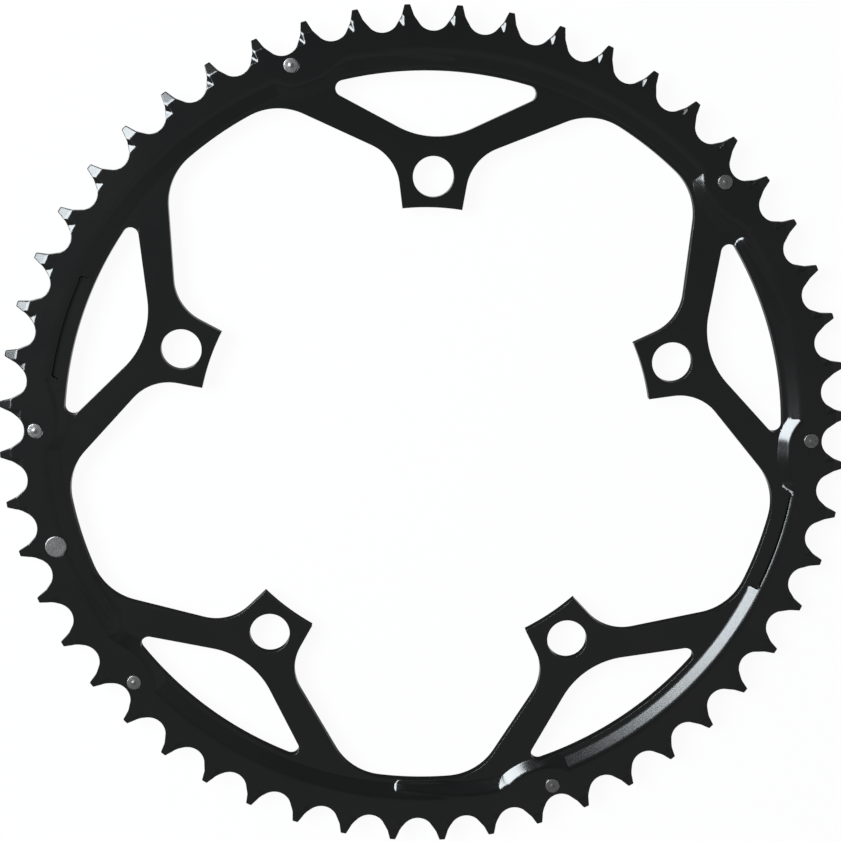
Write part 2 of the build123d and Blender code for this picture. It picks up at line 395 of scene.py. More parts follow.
@dataclass(frozen=True)
class StudioWhite:
    """White floor paper: it glows for the eye and for gloss, and still takes the object's shadow."""

    paper: Colour = (0.86, 0.86, 0.86)
    fibre: Colour = (0.8, 0.8, 0.8)
    fibre_share: float = 0.05
    weave: Grain = Grain(900.0, 2.0)
    glow: float = 0.945

    def material(self) -> bpy.types.Material:
        """Builds the material.

        Returns:
            A mix of matt paper and plain white, by the kind of ray that meets it.
        """
        material, graph = new_material("studio_white")
        weave = graph.noise(graph.position(), self.weave)
        shade = graph.mix(weave * self.fibre_share, self.paper, self.fibre)
        matt = graph.node("ShaderNodeBsdfDiffuse", inputs={"Color": shade})
        white = graph.node("ShaderNodeEmission", inputs={"Color": (1.0, 1.0, 1.0, 1.0), "Strength": 1.0})
        kinds = ("Is Camera Ray", "Is Glossy Ray", "Is Transmission Ray")
        seen = [graph.node("ShaderNodeLightPath", output=kind) for kind in kinds]
        share = graph.clamp(seen[0] + seen[1] + seen[2]) * self.glow
        graph.finish(graph.node("ShaderNodeMixShader", inputs={0: share, 1: matt, 2: white}))
        return material


def add_object(name: str, mesh: bpy.types.Mesh, material: bpy.types.Material) -> bpy.types.Object:
    """Links a mesh as an object at the origin.

    Args:
        name: the piece's name.
        mesh: its mesh, in place.
        material: its finish.

    Returns:
        The new object.
    """
    mesh.materials.clear()
    mesh.materials.append(material)
    made = bpy.data.objects.new(name, mesh)
    bpy.context.scene.collection.objects.link(made)
    return made


def revolve(
    name: str, profile: np.ndarray, steps: int, centre: Vector, attribute: str, sharp: float,
) -> bpy.types.Mesh:
    """Carries a profile round an upright axis and closes both ends with a pole.

    The surface is (r(i) cos t(j), r(i) sin t(j), z(i)) for profile point i and turn j. The first and
    last profile points lie on the axis, and each becomes one pole vertex.

    Args:
        name: the mesh's name.
        profile: radius and height of each point from the lower pole to the upper one, in metres.
        steps: number of turns of the grid.
        centre: a point on the axis; heights are measured from it.
        attribute: name of the vertex attribute that keeps each point's radius.
        sharp: angle from which a bend of the profile stays sharp, in radians.

    Returns:
        The closed mesh, smooth apart from the sharp bends of the profile.
    """
    turn = np.linspace(0.0, 2.0 * math.pi, steps, endpoint=False)
    radius, height = profile[1:-1, 0], profile[1:-1, 1]
    rows = radius.size
    grid = np.stack([
        radius[:, None] * np.cos(turn)[None, :],
        radius[:, None] * np.sin(turn)[None, :],
        np.repeat(height[:, None], steps, axis=1),
    ], axis=-1).reshape(-1, 3)
    poles = np.array([[0.0, 0.0, profile[0, 1]], [0.0, 0.0, profile[-1, 1]]])
    points = np.concatenate([grid, poles]) + np.array(centre)[None, :]
    row, step = np.meshgrid(np.arange(rows - 1), np.arange(steps), indexing="ij")
    ahead = (step + 1) % steps
    quads = np.stack([
        row * steps + step, row * steps + ahead, (row + 1) * steps + ahead, (row + 1) * steps + step,
    ], axis=-1).reshape(-1, 4)
    around = np.arange(steps)
    after = (around + 1) % steps
    low, high = rows * steps, rows * steps + 1
    top = (rows - 1) * steps
    fans = np.concatenate([
        np.stack([after, around, np.full(steps, low)], axis=-1),
        np.stack([top + around, top + after, np.full(steps, high)], axis=-1),
    ])
    mesh = bpy.data.meshes.new(name)
    mesh.from_pydata(points.tolist(), [], quads.tolist() + fans.tolist())
    distance = np.concatenate([np.repeat(radius, steps), [0.0, 0.0]]).astype(np.float32)
    mesh.attributes.new(attribute, "FLOAT", "POINT").data.foreach_set("value", distance)
    mesh.shade_smooth()
    mesh.set_sharp_from_angle(angle=sharp)
    mesh.validate()
    return mesh


@dataclass(frozen=True)
class RingSizes:
    """Sizes of the ring, in millimetres and degrees."""

    chain_pitch: float = 12.7
    tooth_count: int = 52
    roller_diameter: float = 7.75
    roller_clearance: float = 0.60
    seat_clearance: float = 0.45
    seat_half_angle: float = 46.0
    shoulder_angle: float = 36.5
    shoulder_length: float = 2.75
    flank_angle: float = 20.5
    tip_height: float = 1.95
    crank_line_angle: float = 108.0
    bolt_count: int = 5
    bolt_radius: float = 65.0
    bolt_hole_radius: float = 5.1
    tab_reach: float = 7.6
    tab_end_width: float = 14.9
    tab_side_lean: float = 8.5
    arm_thickness: float = 3.2
    rim_width: float = 9.7
    arm_rim_half_angle: float = 25.4
    arm_edge_rise: float = 0.75
    arm_tab_fillet: float = 12.0
    arm_rim_fillet: float = 15.0
    window_rim_half_angle: float = 18.12
    window_rise: float = 7.5
    window_foot_fillet: float = 20.7
    window_corner_fillet: float = 2.0
    rim_rise: float = 1.5
    cone_ledge: float = 1.05
    cone_run: float = 3.65
    tip_bevel_length: float = 2.9
    tip_bevel_drop: float = 1.1
    tooth_thickness: float = 2.2
    outer_ledge: float = 1.5
    outer_slope_run: float = 2.2
    flank_chamfer_start: float = 1.0
    flank_chamfer_angle: float = 27.0
    flank_chamfer_setout: float = 1.0
    flank_step_angle: float = 19.0
    pin_gaps: tuple[int, ...] = (3, 13, 19, 29, 39, 45)
    recess_gaps: tuple[int, ...] = (13, 39)
    recess_lead: float = 24.45
    recess_span: float = 16.15
    recess_wall_inset: float = 0.92
    falling_ramp_gaps: tuple[int, ...] = (3, 29)
    falling_ramp_lead: float = 24.55
    rising_ramp_gaps: tuple[int, ...] = (19, 45)
    rising_ramp_lead: float = 8.35
    ramp_length: float = 24.0
    ramp_height: float = 0.44
    # Corners of a pad's foot: clockwise and outward from the pin's spot on the rim, and the round
    pad_foot: tuple[Span, ...] = (
        (-5.2, 7.9, 0.0),
        (-5.2, 0.95, 0.4),
        (-2.0, -1.04, 10.5),
        (7.0, -1.34, 18.0),
        (13.2, 1.165, 4.5),
        (13.2, 7.9, 0.0),
    )

    @property
    def pitch_angle(self) -> float:
        """Angle from tooth to tooth."""
        return 360.0 / self.tooth_count

    @property
    def pitch_radius(self) -> float:
        """Radius of the circle of the chain's rollers."""
        return self.chain_pitch / (2.0 * math.sin(math.pi / self.tooth_count))

    @property
    def root_radius(self) -> float:
        """Radius of the bottoms of the tooth gaps."""
        return self.pitch_radius - self.roller_diameter / 2.0 - self.roller_clearance

    @property
    def tip_radius(self) -> float:
        """Radius of the tooth tips."""
        return self.pitch_radius + self.tip_height

    @property
    def rim_inner(self) -> float:
        """Radius of the rim's inner edge."""
        return self.root_radius - self.rim_width

    @property
    def cone_foot(self) -> float:
        """Radius where the inward cone starts."""
        return self.rim_inner + self.cone_ledge

    @property
    def cone_top(self) -> float:
        """Radius where the inward cone would meet the rim's top."""
        return self.cone_foot + self.cone_run

    @property
    def tip_bevel_foot(self) -> float:
        """Distance from the axle where the bevel of a tooth tip starts."""
        return self.tip_radius - self.tip_bevel_length

    @property
    def flank_step_foot(self) -> float:
        """Distance from the axle where the step before a flank's chamfer starts."""
        return self.root_radius + self.flank_chamfer_setout

    @property
    def first_gap(self) -> float:
        """Ring angle of tooth gap 0."""
        return (self.crank_line_angle - self.pitch_angle / 2.0) % self.pitch_angle

    @property
    def cone_slope(self) -> float:
        """Rise of the cone over its run."""
        return self.rim_rise / self.cone_run

    @property
    def recess_starts(self) -> list[float]:
        """Ring angle where each recess starts."""
        return [self.gap_angle(gap) - self.recess_lead for gap in self.recess_gaps]

    @property
    def ramp_ends(self) -> list[tuple[float, float]]:
        """Ring angle of each ramp's nose, and 1 where it runs out clockwise or -1 where it doesn't.

        Returns:
            An angle and a way for each ramp.
        """
        falling = [(self.gap_angle(gap) - self.falling_ramp_lead, -1.0) for gap in self.falling_ramp_gaps]
        rising = [(self.gap_angle(gap) - self.rising_ramp_lead, 1.0) for gap in self.rising_ramp_gaps]
        return falling + rising

    def gap_angle(self, gap: float) -> float:
        """Ring angle of the middle of a tooth gap."""
        return self.first_gap + gap * self.pitch_angle


def plan_point(angle: np.ndarray | float, radius: np.ndarray | float) -> np.ndarray:
    """Plan points at ring angles, counter-clockwise from +Y in degrees, and radii."""
    turn = np.radians(angle)
    return np.stack(np.broadcast_arrays(-radius * np.sin(turn), radius * np.cos(turn)), axis=-1)


def turned(points: np.ndarray, angles: np.ndarray) -> np.ndarray:
    """Copies of a path turned about the axle, one behind the other.

    Args:
        points: points of the path.
        angles: turn of each copy, in degrees.

    Returns:
        Points of all the copies.
    """
    turn = np.radians(angles)[:, None]
    x, y = points[None, :, 0], points[None, :, 1]
    copies = np.stack([x * np.cos(turn) - y * np.sin(turn), x * np.sin(turn) + y * np.cos(turn)], axis=-1)
    return copies.reshape(-1, 2)


def mirrored(points: np.ndarray) -> np.ndarray:
    """A path mirrored left to right and run backwards."""
    return (points * np.array([-1.0, 1.0]))[::-1]


def run(start: np.ndarray, end: np.ndarray, step: float) -> np.ndarray:
    """Points along a straight run, without its end.

    Args:
        start: first point.
        end: point that the run leads to.
        step: greatest distance of neighbours.

    Returns:
        Points of the run.
    """
    count = max(1, int(math.ceil(float(np.linalg.norm(end - start)) / step)))
    share = np.arange(count)[:, None] / count
    return start + (end - start) * share


def sweep(centre: np.ndarray, start: np.ndarray, end: np.ndarray, step: float) -> np.ndarray:
    """Points along the shorter arc about a centre, without its end.

    Args:
        centre: centre of the arc.
        start: first point.
        end: point that the arc leads to.
        step: greatest distance of neighbours along the arc.

    Returns:
        Points of the arc.
    """
    first = math.atan2(*(start - centre)[::-1])
    span = (math.atan2(*(end - centre)[::-1]) - first + math.pi) % (2.0 * math.pi) - math.pi
    radius = float(np.linalg.norm(start - centre))
    count = max(2, int(math.ceil(abs(span) * radius / step)))
    turn = first + span * np.arange(count) / count
    return centre + radius * np.stack([np.cos(turn), np.sin(turn)], axis=-1)


def corner_round(before: np.ndarray, corner: np.ndarray, after: np.ndarray, radius: float) -> np.ndarray:
    """Round of the corner between two straight sides.

    A round of radius q at a corner of half angle h touches both sides q / tan(h) from the corner,
    and its centre lies q / sin(h) along the bisector.

    Args:
        before: a point of the side that comes in.
        corner: the corner.
        after: a point of the side that goes out.
        radius: radius of the round.

    Returns:
        Touching point on the first side, centre, and touching point on the second side, as rows.
    """
    back = (before - corner) / np.linalg.norm(before - corner)
    ahead = (after - corner) / np.linalg.norm(after - corner)
    half = math.acos(float(np.clip(back @ ahead, -1.0, 1.0))) / 2.0
    reach = radius / math.tan(half)
    middle = (back + ahead) / np.linalg.norm(back + ahead)
    centre = corner + middle * radius / math.sin(half)
    return np.stack([corner + back * reach, centre, corner + ahead * reach])


def rounded(corners: np.ndarray, radii: np.ndarray, step: float) -> np.ndarray:
    """Closed polygon with a round of its own radius at each corner.

    Args:
        corners: corner points in order.
        radii: radius at each corner, 0 for a sharp one.
        step: greatest distance of neighbouring points.

    Returns:
        Points of the closed outline.
    """
    bends = []
    before_each, after_each = np.roll(corners, 1, 0), np.roll(corners, -1, 0)
    for before, corner, after, radius in zip(before_each, corners, after_each, radii):
        if radius == 0.0:
            bends.append((np.empty((0, 2)), corner, corner))
            continue
        enter, centre, leave = corner_round(before, corner, after, radius)
        bends.append((sweep(centre, enter, leave, step), enter, leave))
    runs = []
    for (bend, _, leave), (_, enter, _) in zip(bends, bends[1:] + bends[:1]):
        runs += [bend, run(leave, enter, step)]
    return np.concatenate(runs)


def soft_min(first: np.ndarray, second: np.ndarray | float, blend: float) -> np.ndarray:
    """The lower of two heights, with a parabola where they differ by less than the blend."""
    share = np.clip(blend - np.abs(first - second), 0.0, None) / blend
    return np.minimum(first, second) - share**2 * blend / 4.0


def soft_max(first: np.ndarray, second: np.ndarray | float, blend: float) -> np.ndarray:
    """The higher of two heights, with a parabola where they differ by less than the blend."""
    return -soft_min(-first, -np.asarray(second), blend)


def smooth_step(value: np.ndarray) -> np.ndarray:
    """0 below 0, 1 above 1 and a cubic between."""
    share = np.clip(value, 0.0, 1.0)
    return share * share * (3.0 - 2.0 * share)


def distance_to(points: np.ndarray, loop: np.ndarray) -> np.ndarray:
    """Distance of points from a closed path, negative inside it.

    Each point is dropped on each straight side of the path, and the nearest foot counts. A point is
    inside where a level line from it crosses the path an odd number of times.

    Args:
        points: plan points.
        loop: points of the closed path.

    Returns:
        One distance for each point.
    """
    start, end = loop[None, :, :], np.roll(loop, -1, 0)[None, :, :]
    side, away = end - start, points[:, None, :] - start
    share = np.clip((away * side).sum(-1) / (side * side).sum(-1), 0.0, 1.0)
    gap = np.linalg.norm(away - side * share[..., None], axis=-1).min(1)
    x, y = points[:, None, 0], points[:, None, 1]
    spans = (start[..., 1] > y) != (end[..., 1] > y)
    rise = np.where(spans, end[..., 1] - start[..., 1], 1.0)
    crossing = start[..., 0] + (y - start[..., 1]) / rise * (end[..., 0] - start[..., 0])
    inside = (spans & (x < crossing)).sum(1) % 2 == 1
    return np.where(inside, -gap, gap)


@dataclass(frozen=True)
class RingPlan:
    """Outlines of the ring as seen along its axle: teeth, central star, windows and round holes."""

    sizes: RingSizes
    step: float = 0.45
    bend_step: float = 0.225
    fine_step: float = 0.3
    arc_step: float = 0.9
    side_step: float = 1.35
    circle_points: int = 56
    tip_round: float = 0.22
    knee_round: float = 2.2

    def teeth(self) -> np.ndarray:
        """Outer outline: for each gap a roller seat, then flanks that bend in at a rounded knee.

        Returns:
            Points of the closed outline, counter-clockwise.
        """
        s = self.sizes
        seat = s.roller_diameter / 2.0 + s.seat_clearance
        spread, lean, flank = np.radians([s.seat_half_angle, s.shoulder_angle, s.flank_angle])
        middle = np.array([0.0, s.root_radius + seat])
        foot = middle + seat * np.array([math.sin(spread), -math.cos(spread)])
        knee = foot + s.shoulder_length * np.array([math.sin(lean), math.cos(lean)])
        lift = knee @ np.array([math.sin(flank), math.cos(flank)])
        reach = -lift + math.sqrt(lift**2 - knee @ knee + s.tip_radius**2)
        tip = knee + reach * np.array([math.sin(flank), math.cos(flank)])
        root = np.array([0.0, s.root_radius])
        next_tip = turned(mirrored(tip[None, :]), np.array([-s.pitch_angle]))[0]
        corners = np.stack([next_tip, tip, knee, foot])
        bends = self.open_rounds(corners, np.array([self.tip_round, self.knee_round]))
        half = np.concatenate([bends, sweep(middle, foot, root, self.fine_step)])
        path = np.concatenate([half, root[None, :], mirrored(half)[:-1]])
        gaps = s.gap_angle(np.arange(s.tooth_count))
        return turned(path, gaps)

    def open_rounds(self, corners: np.ndarray, radii: np.ndarray) -> np.ndarray:
        """Path from the middle of a tooth tip to the seat's foot, rounded at the tip corner and the knee.

        Args:
            corners: far tip corner, tip corner, knee and foot.
            radii: radius at the tip corner and at the knee.

        Returns:
            Points of the path, without the foot.
        """
        path = []
        leave = (corners[0] + corners[1]) / 2.0
        for before, corner, after, radius in zip(corners, corners[1:], corners[2:], radii):
            enter, centre, end = corner_round(before, corner, after, radius)
            path += [run(leave, enter, self.step), sweep(centre, enter, end, self.bend_step)]
            leave = end
        path.append(run(leave, corners[-1], self.step))
        return np.concatenate(path)

    def rim_round(self, start: np.ndarray, way: np.ndarray, inward: np.ndarray, radius: float) -> np.ndarray:
        """Round between a straight edge and the rim's inner edge.

        Its centre lies one radius from the edge's line and one radius inside the rim's inner edge.

        Args:
            start: a point of the straight edge.
            way: unit direction of the edge, towards the rim.
            inward: unit normal of the edge, into the opening.
            radius: radius of the round.

        Returns:
            Touching point on the edge, centre, and touching point on the rim, as rows.
        """
        base = start + inward * radius
        lift = float(base @ way)
        reach = -lift + math.sqrt(lift**2 - base @ base + (self.sizes.rim_inner - radius) ** 2)
        centre = base + way * reach
        meet = centre * self.sizes.rim_inner / np.linalg.norm(centre)
        return np.stack([start + way * reach, centre, meet])

    def star(self) -> np.ndarray:
        """Central opening: five tabs reach into it and five lobes run out to the rim.

        Returns:
            Points of the closed outline, counter-clockwise.
        """
        s = self.sizes
        end = s.bolt_radius - s.tab_reach
        tab = np.array([s.tab_end_width / 2.0, math.sqrt(end**2 - s.tab_end_width**2 / 4.0)])
        rim = plan_point(-s.arm_rim_half_angle, s.rim_inner)
        height = s.bolt_radius + s.arm_edge_rise
        slope, side = (rim[1] - height) / rim[0], math.tan(math.radians(s.tab_side_lean))
        rise = (height + slope * tab[0] - tab[1]) / (1.0 - slope * side)
        knee = tab + rise * np.array([side, 1.0])
        way = np.array([1.0, slope]) / math.hypot(1.0, slope)
        enter, bend, leave = corner_round(tab, knee, knee + way, s.arm_tab_fillet)
        touch, centre, meet = self.rim_round(knee, way, np.array([way[1], -way[0]]), s.arm_rim_fillet)
        lobe = plan_point(-180.0 / s.bolt_count, s.rim_inner)
        arm = np.concatenate([
            sweep(np.zeros(2), np.array([0.0, end]), tab, self.arc_step),
            run(tab, enter, self.arc_step),
            sweep(bend, enter, leave, self.arc_step),
            run(leave, touch, self.side_step),
            sweep(centre, touch, meet, self.arc_step),
            sweep(np.zeros(2), meet, lobe, self.arc_step),
            lobe[None, :],
        ])
        path = np.concatenate([arm[:0:-1], mirrored(arm)[::-1]])[:-1]
        return turned(path, np.arange(s.bolt_count) * 360.0 / s.bolt_count)

    def windows(self) -> list[np.ndarray]:
        """Openings in the arms: two slanted sides from a rounded foot, and an arc along the rim.

        Returns:
            One closed outline for each arm, counter-clockwise.
        """
        s = self.sizes
        foot = np.array([0.0, s.bolt_radius + s.window_rise])
        corner = plan_point(-s.window_rim_half_angle, s.rim_inner)
        way = (corner - foot) / np.linalg.norm(corner - foot)
        _, bend, low = corner_round(mirrored(corner[None, :])[0], foot, corner, s.window_foot_fillet)
        touch, centre, meet = self.rim_round(foot, way, np.array([-way[1], way[0]]), s.window_corner_fillet)
        bottom = bend - np.array([0.0, s.window_foot_fillet])
        top = np.array([0.0, s.rim_inner])
        right = np.concatenate([
            sweep(bend, bottom, low, self.arc_step),
            run(low, touch, self.side_step),
            sweep(centre, touch, meet, self.fine_step),
            sweep(np.zeros(2), meet, top, self.arc_step),
            top[None, :],
        ])
        path = np.concatenate([right, mirrored(right)[1:-1]])
        return [turned(path, np.array([arm * 360.0 / s.bolt_count])) for arm in range(s.bolt_count)]

    def circle(self, centre: np.ndarray, radius: float) -> np.ndarray:
        """Round hole, counter-clockwise."""
        turn = np.linspace(0.0, 2.0 * math.pi, self.circle_points, endpoint=False)
        return centre + radius * np.stack([np.cos(turn), np.sin(turn)], axis=-1)

    def bolt_holes(self) -> list[np.ndarray]:
        """Holes for the spider bolts.

        Returns:
            One closed outline for each bolt.
        """
        s = self.sizes
        centres = plan_point(np.arange(s.bolt_count) * 360.0 / s.bolt_count, s.bolt_radius)
        return [self.circle(centre, s.bolt_hole_radius) for centre in centres]


@dataclass(frozen=True)
class RingRelief:
    """Heights of the ring's two faces over its plan, in millimetres."""

    sizes: RingSizes
    cone_blend: float = 0.38
    foot_blend: float = 0.03
    pad_blend: float = 0.06
    pad_slope: float = 0.535
    foot_step: float = 0.12
    facet_blend: float = 0.05
    wall_foot: float = 0.1
    wall_run: float = 0.08
    recess_lean: float = 0.21
    recess_corner: float = 0.8
    nose_radius: float = 2.12
    nose_middle: float = 1.75
    nose_lead: float = 0.15
    nose_slope: float = 0.38
    nose_lift: float = 0.08
    nose_fade: float = 2.3
    nose_fade_run: float = 1.5
    nose_inner_run: float = 0.9
    crown_run: float = 4.0
    outer_bevel_drop: float = 0.35
    outer_blend: float = 0.08

    def inner_face(self, points: np.ndarray) -> np.ndarray:
        """Height of the face with the pins.

        The arms lie at 0, and a cone rises from them to the rim's flat top. Pads stand on the cone,
        recesses take it away up to the start of a pad, ramps lie on it, and the teeth are bevelled.

        Args:
            points: plan points.

        Returns:
            One height for each point.
        """
        s = self.sizes
        radius, angle = self.polar(points)
        height = self.cone(radius)
        for gap in s.pin_gaps:
            height = soft_max(height, self.pad(points, s.gap_angle(gap)), self.pad_blend)
        for start in s.recess_starts:
            height = height * (1.0 - self.recess(radius, angle, start))
        for end, way in s.ramp_ends:
            height = height + self.ramp(points, end, way)
        return np.minimum(height, self.tooth_bevels(radius, angle))

    def cone(self, radius: np.ndarray) -> np.ndarray:
        """Height of the cone at a radius: it leaves the arms with a bend and eases into the rim's top.

        Args:
            radius: radius of each point.

        Returns:
            Height of each point.
        """
        s = self.sizes
        rise = soft_min((radius - s.cone_foot) * s.cone_slope, s.rim_rise, self.cone_blend)
        return soft_max(rise, 0.0, self.foot_blend)

    def outer_face(self, points: np.ndarray) -> np.ndarray:
        """Height of the face without ramps: flat arms, a slope up under the rim, bevelled tooth tips.

        Args:
            points: plan points.

        Returns:
            One height for each point.
        """
        s = self.sizes
        radius, angle = self.polar(points)
        start = s.rim_inner + s.outer_ledge
        bottom = s.rim_rise - s.tooth_thickness
        rise = (radius - start) * (bottom + s.arm_thickness) / s.outer_slope_run - s.arm_thickness
        face = soft_min(soft_max(rise, -s.arm_thickness, self.outer_blend), bottom, self.outer_blend)
        along, _ = self.tooth_frame(radius, angle)
        bevel = (along - s.tip_bevel_foot) / s.tip_bevel_length
        return face + self.outer_bevel_drop * np.clip(bevel, 0.0, None)

    def polar(self, points: np.ndarray) -> tuple[np.ndarray, np.ndarray]:
        """Radius and ring angle of plan points."""
        return np.hypot(points[:, 0], points[:, 1]), np.degrees(np.arctan2(-points[:, 0], points[:, 1]))

    def turned_back(self, points: np.ndarray, angle: float) -> tuple[np.ndarray, np.ndarray]:
        """Clockwise and outward distances of plan points from a spot of the rim's inner edge."""
        local = turned(points, np.array([-angle]))
        return local[:, 0], local[:, 1] - self.sizes.rim_inner

    def recess(self, radius: np.ndarray, angle: np.ndarray, start: float) -> np.ndarray:
        """Share of the cone that a milled recess takes away, 1 inside it.

        The share falls evenly through the wall, which is almost upright.

        Args:
            radius: radius of each point.
            angle: ring angle of each point.
            start: ring angle of the recess's start.

        Returns:
            A share for each point.
        """
        s = self.sizes
        from_wall = s.cone_top - s.recess_wall_inset - radius
        ahead = (angle - start + 180.0) % 360.0 - 180.0
        from_start = np.radians(ahead) * radius
        from_end = np.radians(s.recess_span + from_wall * self.recess_lean - ahead) * radius
        depth = soft_min(soft_min(from_wall, from_start, self.recess_corner), from_end, self.recess_corner)
        return np.clip((depth - self.wall_foot) / self.wall_run + 1.0, 0.0, 1.0)

    def pad_foot(self) -> np.ndarray:
        """Outline of a pad's foot, clockwise and outward from its pin's spot on the rim's inner edge."""
        table = np.array(self.sizes.pad_foot)
        return rounded(table[:, :2], table[:, 2], self.foot_step)

    def pad(self, points: np.ndarray, pin_angle: float) -> np.ndarray:
        """Raised pad at a shift pin, whose wall has one steepness and eases into the rim's top.

        The wall's height is the least, over the points of the pad's foot, of the cone's height there
        plus the distance from there times the steepness.

        Args:
            points: plan points.
            pin_angle: ring angle of the pin.

        Returns:
            Height of each point, below the arms outside the pad.
        """
        s = self.sizes
        foot = self.pad_foot()
        local = np.stack(self.turned_back(points, pin_angle), axis=-1)
        near = ((local > foot.min(0)) & (local < foot.max(0))).all(1)
        start = self.cone(np.hypot(foot[:, 0], foot[:, 1] + s.rim_inner))
        reach = np.linalg.norm(local[near][:, None, :] - foot[None, :, :], axis=-1)
        wall = soft_min((start + reach * self.pad_slope).min(1), s.rim_rise, self.cone_blend)
        height = np.full(len(points), -s.rim_rise)
        height[near] = np.where(distance_to(local[near], foot) < 0.0, wall, -s.rim_rise)
        return height

    def ramp(self, points: np.ndarray, end_angle: float, way: float) -> np.ndarray:
        """Low wedge on the cone that starts with a round nose and runs out along the rim.

        The nose is an arc in plan. Behind it a bevel climbs to a crown, which gains its full lift by
        the square of the way still left to its top and then loses it evenly along the ramp.

        Args:
            points: plan points.
            end_angle: ring angle of the nose.
            way: 1 where it runs out clockwise, -1 where it runs out counter-clockwise.

        Returns:
            Lift of each point above the face under the wedge.
        """
        s = self.sizes
        across, out = self.turned_back(points, end_angle)
        ahead = across * way
        bow = np.clip(self.nose_radius**2 - (out - self.nose_middle) ** 2, 0.0, None)
        behind = ahead + self.nose_lead - self.nose_radius + np.sqrt(bow)
        left = np.clip(1.0 - behind / self.crown_run, 0.0, 1.0)
        crown = s.ramp_height - (s.ramp_height - self.nose_lift) * left**2
        wedge = soft_min(np.clip(behind, 0.0, None) * self.nose_slope, crown, self.facet_blend)
        beside = 1.0 - smooth_step((out - self.nose_fade) / self.nose_fade_run)
        beside = beside * smooth_step(1.0 + out / self.nose_inner_run)
        return np.clip(wedge, 0.0, None) * beside * np.clip(1.0 - ahead / s.ramp_length, 0.0, 1.0)

    def tooth_frame(self, radius: np.ndarray, angle: np.ndarray) -> tuple[np.ndarray, np.ndarray]:
        """Distances of points along and clockwise of the middle line of the nearest tooth.

        Args:
            radius: radius of each point.
            angle: ring angle of each point.

        Returns:
            Distances along the line from the axle, and clockwise of it.
        """
        s = self.sizes
        share = (angle - s.first_gap) / s.pitch_angle
        off = np.radians((share - np.floor(share) - 0.5) * s.pitch_angle)
        return radius * np.cos(off), -radius * np.sin(off)

    def tooth_bevels(self, radius: np.ndarray, angle: np.ndarray) -> np.ndarray:
        """Tooth tops: flat, with a bevelled tip and a chamfer on the counter-clockwise flank.

        The chamfer starts behind a sloping step near the root.

        Args:
            radius: radius of each point.
            angle: ring angle of each point.

        Returns:
            Height of each point.
        """
        s = self.sizes
        along, clockwise = self.tooth_frame(radius, angle)
        tip = s.rim_rise - (along - s.tip_bevel_foot) * s.tip_bevel_drop / s.tip_bevel_length
        fall, step_fall = np.tan(np.radians([s.flank_chamfer_angle, s.flank_step_angle]))
        chamfer = s.rim_rise + (clockwise + s.flank_chamfer_start) * fall
        step = s.rim_rise - (along - s.flank_step_foot) * step_fall
        flank = soft_max(chamfer, step, self.facet_blend)
        return soft_min(soft_min(tip, flank, self.facet_blend), s.rim_rise, self.facet_blend)


@dataclass(frozen=True)
class Edge:
    """One outline of the plan, what it encloses and the round of its corners."""

    loop: np.ndarray
    kind: Outline
    corner: float = 0.0
    least_lean: float = 0.6

    @property
    def metal(self) -> float:
        """1 where the metal lies inside the outline, -1 where it lies outside."""
        return 1.0 if self.kind is Outline.METAL else -1.0

    def inset(self, distance: float) -> np.ndarray:
        """The outline moved into the metal.

        Each point moves along the mean normal of its two sides, by the distance over the cosine of
        their half angle, so that the sides themselves move by the distance.

        Args:
            distance: how far the sides move, in millimetres.

        Returns:
            Points of the moved outline.
        """
        ahead = np.roll(self.loop, -1, 0) - self.loop
        ahead = ahead / np.linalg.norm(ahead, axis=1, keepdims=True)
        normal = np.stack([-ahead[:, 1], ahead[:, 0]], axis=-1)
        mean = normal + np.roll(normal, 1, 0)
        mean = mean / np.linalg.norm(mean, axis=1, keepdims=True)
        lean = np.clip((mean * normal).sum(1, keepdims=True), self.least_lean, 1.0)
        return self.loop + self.metal * distance * mean / lean


@dataclass(frozen=True)
class Patch:
    """A fine grid at a spot of the rim's inner edge: start, end and step clockwise and outward."""

    across: Span
    out: Span

    def points(self, angle: float, rim_inner: float, way: float = 1.0) -> np.ndarray:
        """Plan points of the patch at a ring angle, mirrored where way is -1."""
        x, y = np.meshgrid(way * np.arange(*self.across), np.arange(*self.out))
        return turned(np.stack([x.ravel(), y.ravel() + rim_inner], axis=-1), np.array([angle]))


